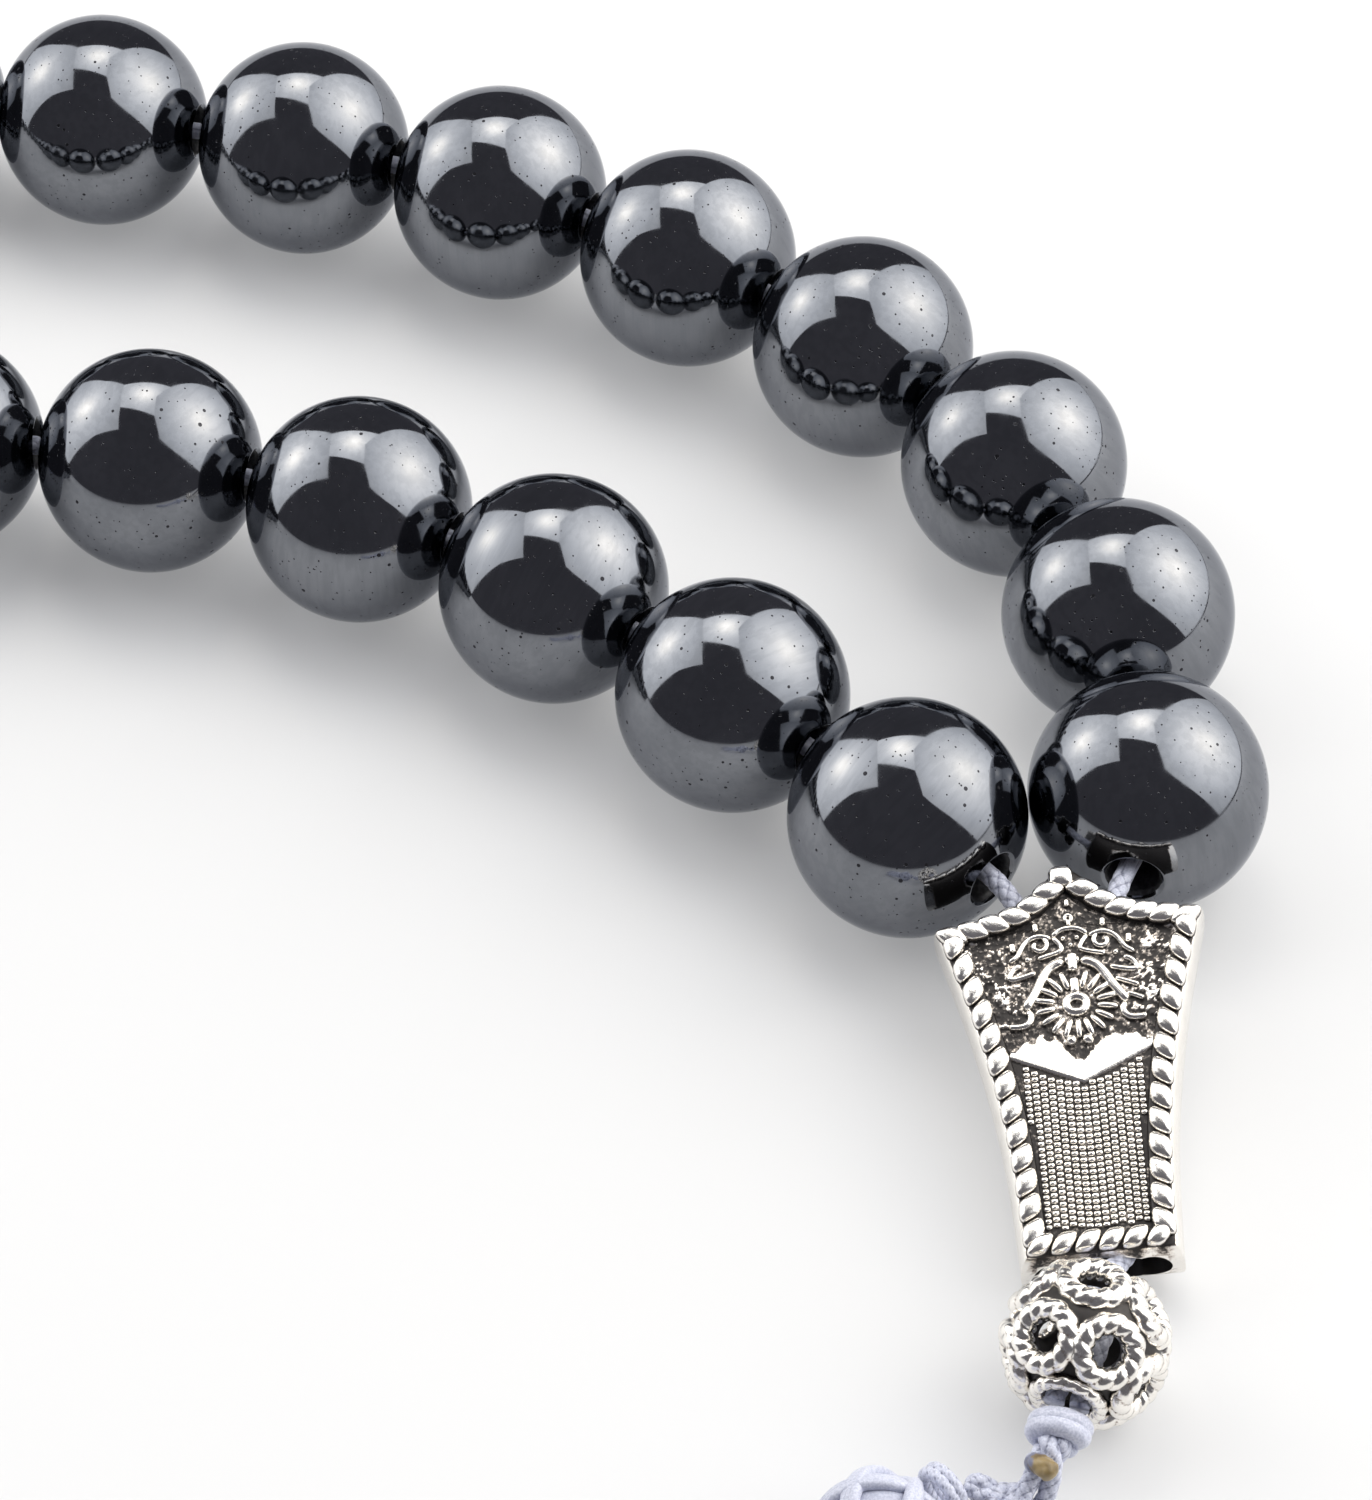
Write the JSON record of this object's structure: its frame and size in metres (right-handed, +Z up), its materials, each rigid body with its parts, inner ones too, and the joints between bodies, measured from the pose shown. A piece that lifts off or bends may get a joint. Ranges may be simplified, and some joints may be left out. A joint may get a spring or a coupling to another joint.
{
  "type": "prayer beads",
  "caption": "Looped string of round drilled stone prayer beads on braided cord, with metal dividers, a flared cast leader piece, an openwork ball, a stopper knot and a thread tassel.",
  "frame": {"origin": "middle of the footprint of the whole string as it lies, on the surface that it lies on", "axes": "+Z up from the surface; +X along the loop's long side towards the leader piece; +Y across the loop, away from the end of the tassel"},
  "size_m": [0.1844, 0.1591, 0.012],
  "materials": {
    "hematite": "polished",
    "antiqued_silver": "satin",
    "thread": "matte"
  },
  "bodies": {
    "cord": {"stringing_cord": "thread", "stopper_knot": "thread"},
    "bead_01": {"bead_01": "hematite"},
    "bead_02": {"bead_02": "hematite"},
    "bead_03": {"bead_03": "hematite"},
    "bead_04": {"bead_04": "hematite"},
    "bead_05": {"bead_05": "hematite"},
    "bead_06": {"bead_06": "hematite"},
    "bead_07": {"bead_07": "hematite"},
    "bead_08": {"bead_08": "hematite"},
    "bead_09": {"bead_09": "hematite"},
    "bead_10": {"bead_10": "hematite"},
    "bead_11": {"bead_11": "hematite"},
    "divider_1": {"divider_1": "antiqued_silver"},
    "bead_12": {"bead_12": "hematite"},
    "bead_13": {"bead_13": "hematite"},
    "bead_14": {"bead_14": "hematite"},
    "bead_15": {"bead_15": "hematite"},
    "bead_16": {"bead_16": "hematite"},
    "bead_17": {"bead_17": "hematite"},
    "bead_18": {"bead_18": "hematite"},
    "bead_19": {"bead_19": "hematite"},
    "bead_20": {"bead_20": "hematite"},
    "bead_21": {"bead_21": "hematite"},
    "bead_22": {"bead_22": "hematite"},
    "divider_2": {"divider_2": "antiqued_silver"},
    "bead_23": {"bead_23": "hematite"},
    "bead_24": {"bead_24": "hematite"},
    "bead_25": {"bead_25": "hematite"},
    "bead_26": {"bead_26": "hematite"},
    "bead_27": {"bead_27": "hematite"},
    "bead_28": {"bead_28": "hematite"},
    "bead_29": {"bead_29": "hematite"},
    "bead_30": {"bead_30": "hematite"},
    "bead_31": {"bead_31": "hematite"},
    "bead_32": {"bead_32": "hematite"},
    "bead_33": {"bead_33": "hematite"},
    "imam": {"imam": "antiqued_silver"},
    "ball": {"openwork_ball": "antiqued_silver"},
    "drop": {"drop_braid": "thread"},
    "tassel": {"tassel_collar": "thread", "tassel_head": "thread", "tassel_binding": "thread", "tassel_skirt": "thread"}
  },
  "joints": [
    {"name": "bead_01_spin", "type": "hinge", "parent": "cord", "child": "bead_01", "pos_m": [0.07422, 0.0065, 0.006], "axis": [-0.6655, 0.7464, 0], "continuous": true},
    {"name": "bead_02_spin", "type": "hinge", "parent": "cord", "child": "bead_02", "pos_m": [0.06597, 0.01534, 0.006], "axis": [-0.6972, 0.7169, 0], "continuous": true},
    {"name": "bead_03_spin", "type": "hinge", "parent": "cord", "child": "bead_03", "pos_m": [0.05706, 0.02353, 0.006], "axis": [-0.7832, 0.6218, 0], "continuous": true},
    {"name": "bead_04_spin", "type": "hinge", "parent": "cord", "child": "bead_04", "pos_m": [0.04691, 0.03012, 0.006], "axis": [-0.8865, 0.4627, 0], "continuous": true},
    {"name": "bead_05_spin", "type": "hinge", "parent": "cord", "child": "bead_05", "pos_m": [0.0357, 0.03468, 0.006], "axis": [-0.9579, 0.287, 0], "continuous": true},
    {"name": "bead_06_spin", "type": "hinge", "parent": "cord", "child": "bead_06", "pos_m": [0.02384, 0.03706, 0.006], "axis": [-0.9943, 0.1063, 0], "continuous": true},
    {"name": "bead_07_spin", "type": "hinge", "parent": "cord", "child": "bead_07", "pos_m": [0.01174, 0.03735, 0.006], "axis": [-0.9985, -0.0549, 0], "continuous": true},
    {"name": "bead_08_spin", "type": "hinge", "parent": "cord", "child": "bead_08", "pos_m": [-0.00025, 0.03574, 0.006], "axis": [-0.9779, -0.2092, 0], "continuous": true},
    {"name": "bead_09_spin", "type": "hinge", "parent": "cord", "child": "bead_09", "pos_m": [-0.01203, 0.03298, 0.006], "axis": [-0.9762, -0.217, 0], "continuous": true},
    {"name": "bead_10_slide", "type": "slide", "parent": "cord", "child": "bead_10", "axis": [0.979, 0.2037, 0], "range_m": [0, 0.0074]},
    {"name": "bead_11_spin", "type": "hinge", "parent": "cord", "child": "bead_11", "pos_m": [-0.04318, 0.02593, 0.006], "axis": [-0.9762, -0.2167, 0], "continuous": true},
    {"name": "divider_1_spin", "type": "hinge", "parent": "cord", "child": "divider_1", "pos_m": [-0.05115, 0.02446, 0.006], "axis": [-0.9923, -0.1236, 0], "continuous": true},
    {"name": "bead_12_spin", "type": "hinge", "parent": "cord", "child": "bead_12", "pos_m": [-0.05924, 0.02405, 0.006], "axis": [-1, 0.0044, 0], "continuous": true},
    {"name": "bead_13_spin", "type": "hinge", "parent": "cord", "child": "bead_13", "pos_m": [-0.07116, 0.02611, 0.006], "axis": [-0.9348, 0.3551, 0], "continuous": true},
    {"name": "bead_14_spin", "type": "hinge", "parent": "cord", "child": "bead_14", "pos_m": [-0.08109, 0.03303, 0.006], "axis": [-0.6486, 0.7611, 0], "continuous": true},
    {"name": "bead_15_spin", "type": "hinge", "parent": "cord", "child": "bead_15", "pos_m": [-0.08624, 0.04398, 0.006], "axis": [-0.1764, 0.9843, 0], "continuous": true},
    {"name": "bead_16_spin", "type": "hinge", "parent": "cord", "child": "bead_16", "pos_m": [-0.08531, 0.05604, 0.006], "axis": [0.3282, 0.9446, 0], "continuous": true},
    {"name": "bead_17_spin", "type": "hinge", "parent": "cord", "child": "bead_17", "pos_m": [-0.07852, 0.06606, 0.006], "axis": [0.7529, 0.6581, 0], "continuous": true},
    {"name": "bead_18_spin", "type": "hinge", "parent": "cord", "child": "bead_18", "pos_m": [-0.06787, 0.0718, 0.006], "axis": [0.9588, 0.2842, 0], "continuous": true},
    {"name": "bead_19_spin", "type": "hinge", "parent": "cord", "child": "bead_19", "pos_m": [-0.0559, 0.07358, 0.006], "axis": [0.9995, 0.0324, 0], "continuous": true},
    {"name": "bead_20_spin", "type": "hinge", "parent": "cord", "child": "bead_20", "pos_m": [-0.0438, 0.07326, 0.006], "axis": [0.9973, -0.0734, 0], "continuous": true},
    {"name": "bead_21_spin", "type": "hinge", "parent": "cord", "child": "bead_21", "pos_m": [-0.03176, 0.07209, 0.006], "axis": [0.9934, -0.1146, 0], "continuous": true},
    {"name": "bead_22_spin", "type": "hinge", "parent": "cord", "child": "bead_22", "pos_m": [-0.01973, 0.07076, 0.006], "axis": [0.9953, -0.0967, 0], "continuous": true},
    {"name": "divider_2_spin", "type": "hinge", "parent": "cord", "child": "divider_2", "pos_m": [-0.01167, 0.07006, 0.006], "axis": [0.9972, -0.075, 0], "continuous": true},
    {"name": "bead_23_spin", "type": "hinge", "parent": "cord", "child": "bead_23", "pos_m": [-0.0036, 0.0693, 0.006], "axis": [0.9939, -0.1101, 0], "continuous": true},
    {"name": "bead_24_spin", "type": "hinge", "parent": "cord", "child": "bead_24", "pos_m": [0.00838, 0.0676, 0.006], "axis": [0.9867, -0.1628, 0], "continuous": true},
    {"name": "bead_25_spin", "type": "hinge", "parent": "cord", "child": "bead_25", "pos_m": [0.02029, 0.06544, 0.006], "axis": [0.9798, -0.1999, 0], "continuous": true},
    {"name": "bead_26_spin", "type": "hinge", "parent": "cord", "child": "bead_26", "pos_m": [0.03207, 0.06271, 0.006], "axis": [0.9684, -0.2496, 0], "continuous": true},
    {"name": "bead_27_spin", "type": "hinge", "parent": "cord", "child": "bead_27", "pos_m": [0.04367, 0.05926, 0.006], "axis": [0.9438, -0.3304, 0], "continuous": true},
    {"name": "bead_28_spin", "type": "hinge", "parent": "cord", "child": "bead_28", "pos_m": [0.0548, 0.0545, 0.006], "axis": [0.8902, -0.4556, 0], "continuous": true},
    {"name": "bead_29_spin", "type": "hinge", "parent": "cord", "child": "bead_29", "pos_m": [0.06512, 0.04819, 0.006], "axis": [0.8102, -0.5861, 0], "continuous": true},
    {"name": "bead_30_spin", "type": "hinge", "parent": "cord", "child": "bead_30", "pos_m": [0.07429, 0.0403, 0.006], "axis": [0.6984, -0.7157, 0], "continuous": true},
    {"name": "bead_31_spin", "type": "hinge", "parent": "cord", "child": "bead_31", "pos_m": [0.08166, 0.0307, 0.006], "axis": [0.4953, -0.8687, 0], "continuous": true},
    {"name": "bead_32_spin", "type": "hinge", "parent": "cord", "child": "bead_32", "pos_m": [0.08602, 0.01941, 0.006], "axis": [0.2235, -0.9747, 0], "continuous": true},
    {"name": "bead_33_spin", "type": "hinge", "parent": "cord", "child": "bead_33", "pos_m": [0.08625, 0.00732, 0.006], "axis": [-0.2309, -0.973, 0], "continuous": true},
    {"name": "imam_slide", "type": "slide", "parent": "cord", "child": "imam", "axis": [0, 0.9763, 0.2164], "range_m": [0, 0.0008]},
    {"name": "ball_spin", "type": "hinge", "parent": "cord", "child": "ball", "pos_m": [0.08007, -0.02406, 0.0041], "axis": [-0.3471, -0.9344, -0.08], "continuous": true},
    {"name": "drop_swing", "type": "hinge", "parent": "cord", "child": "drop", "pos_m": [0.07847, -0.02836, 0.00373], "axis": [0, 0, 1], "range_deg": [-25, 25]},
    {"name": "tassel_swing", "type": "hinge", "parent": "drop", "child": "tassel", "pos_m": [0.07332, -0.03074, 0.0033], "axis": [0, 0, 1], "range_deg": [-25, 25]}
  ]
}
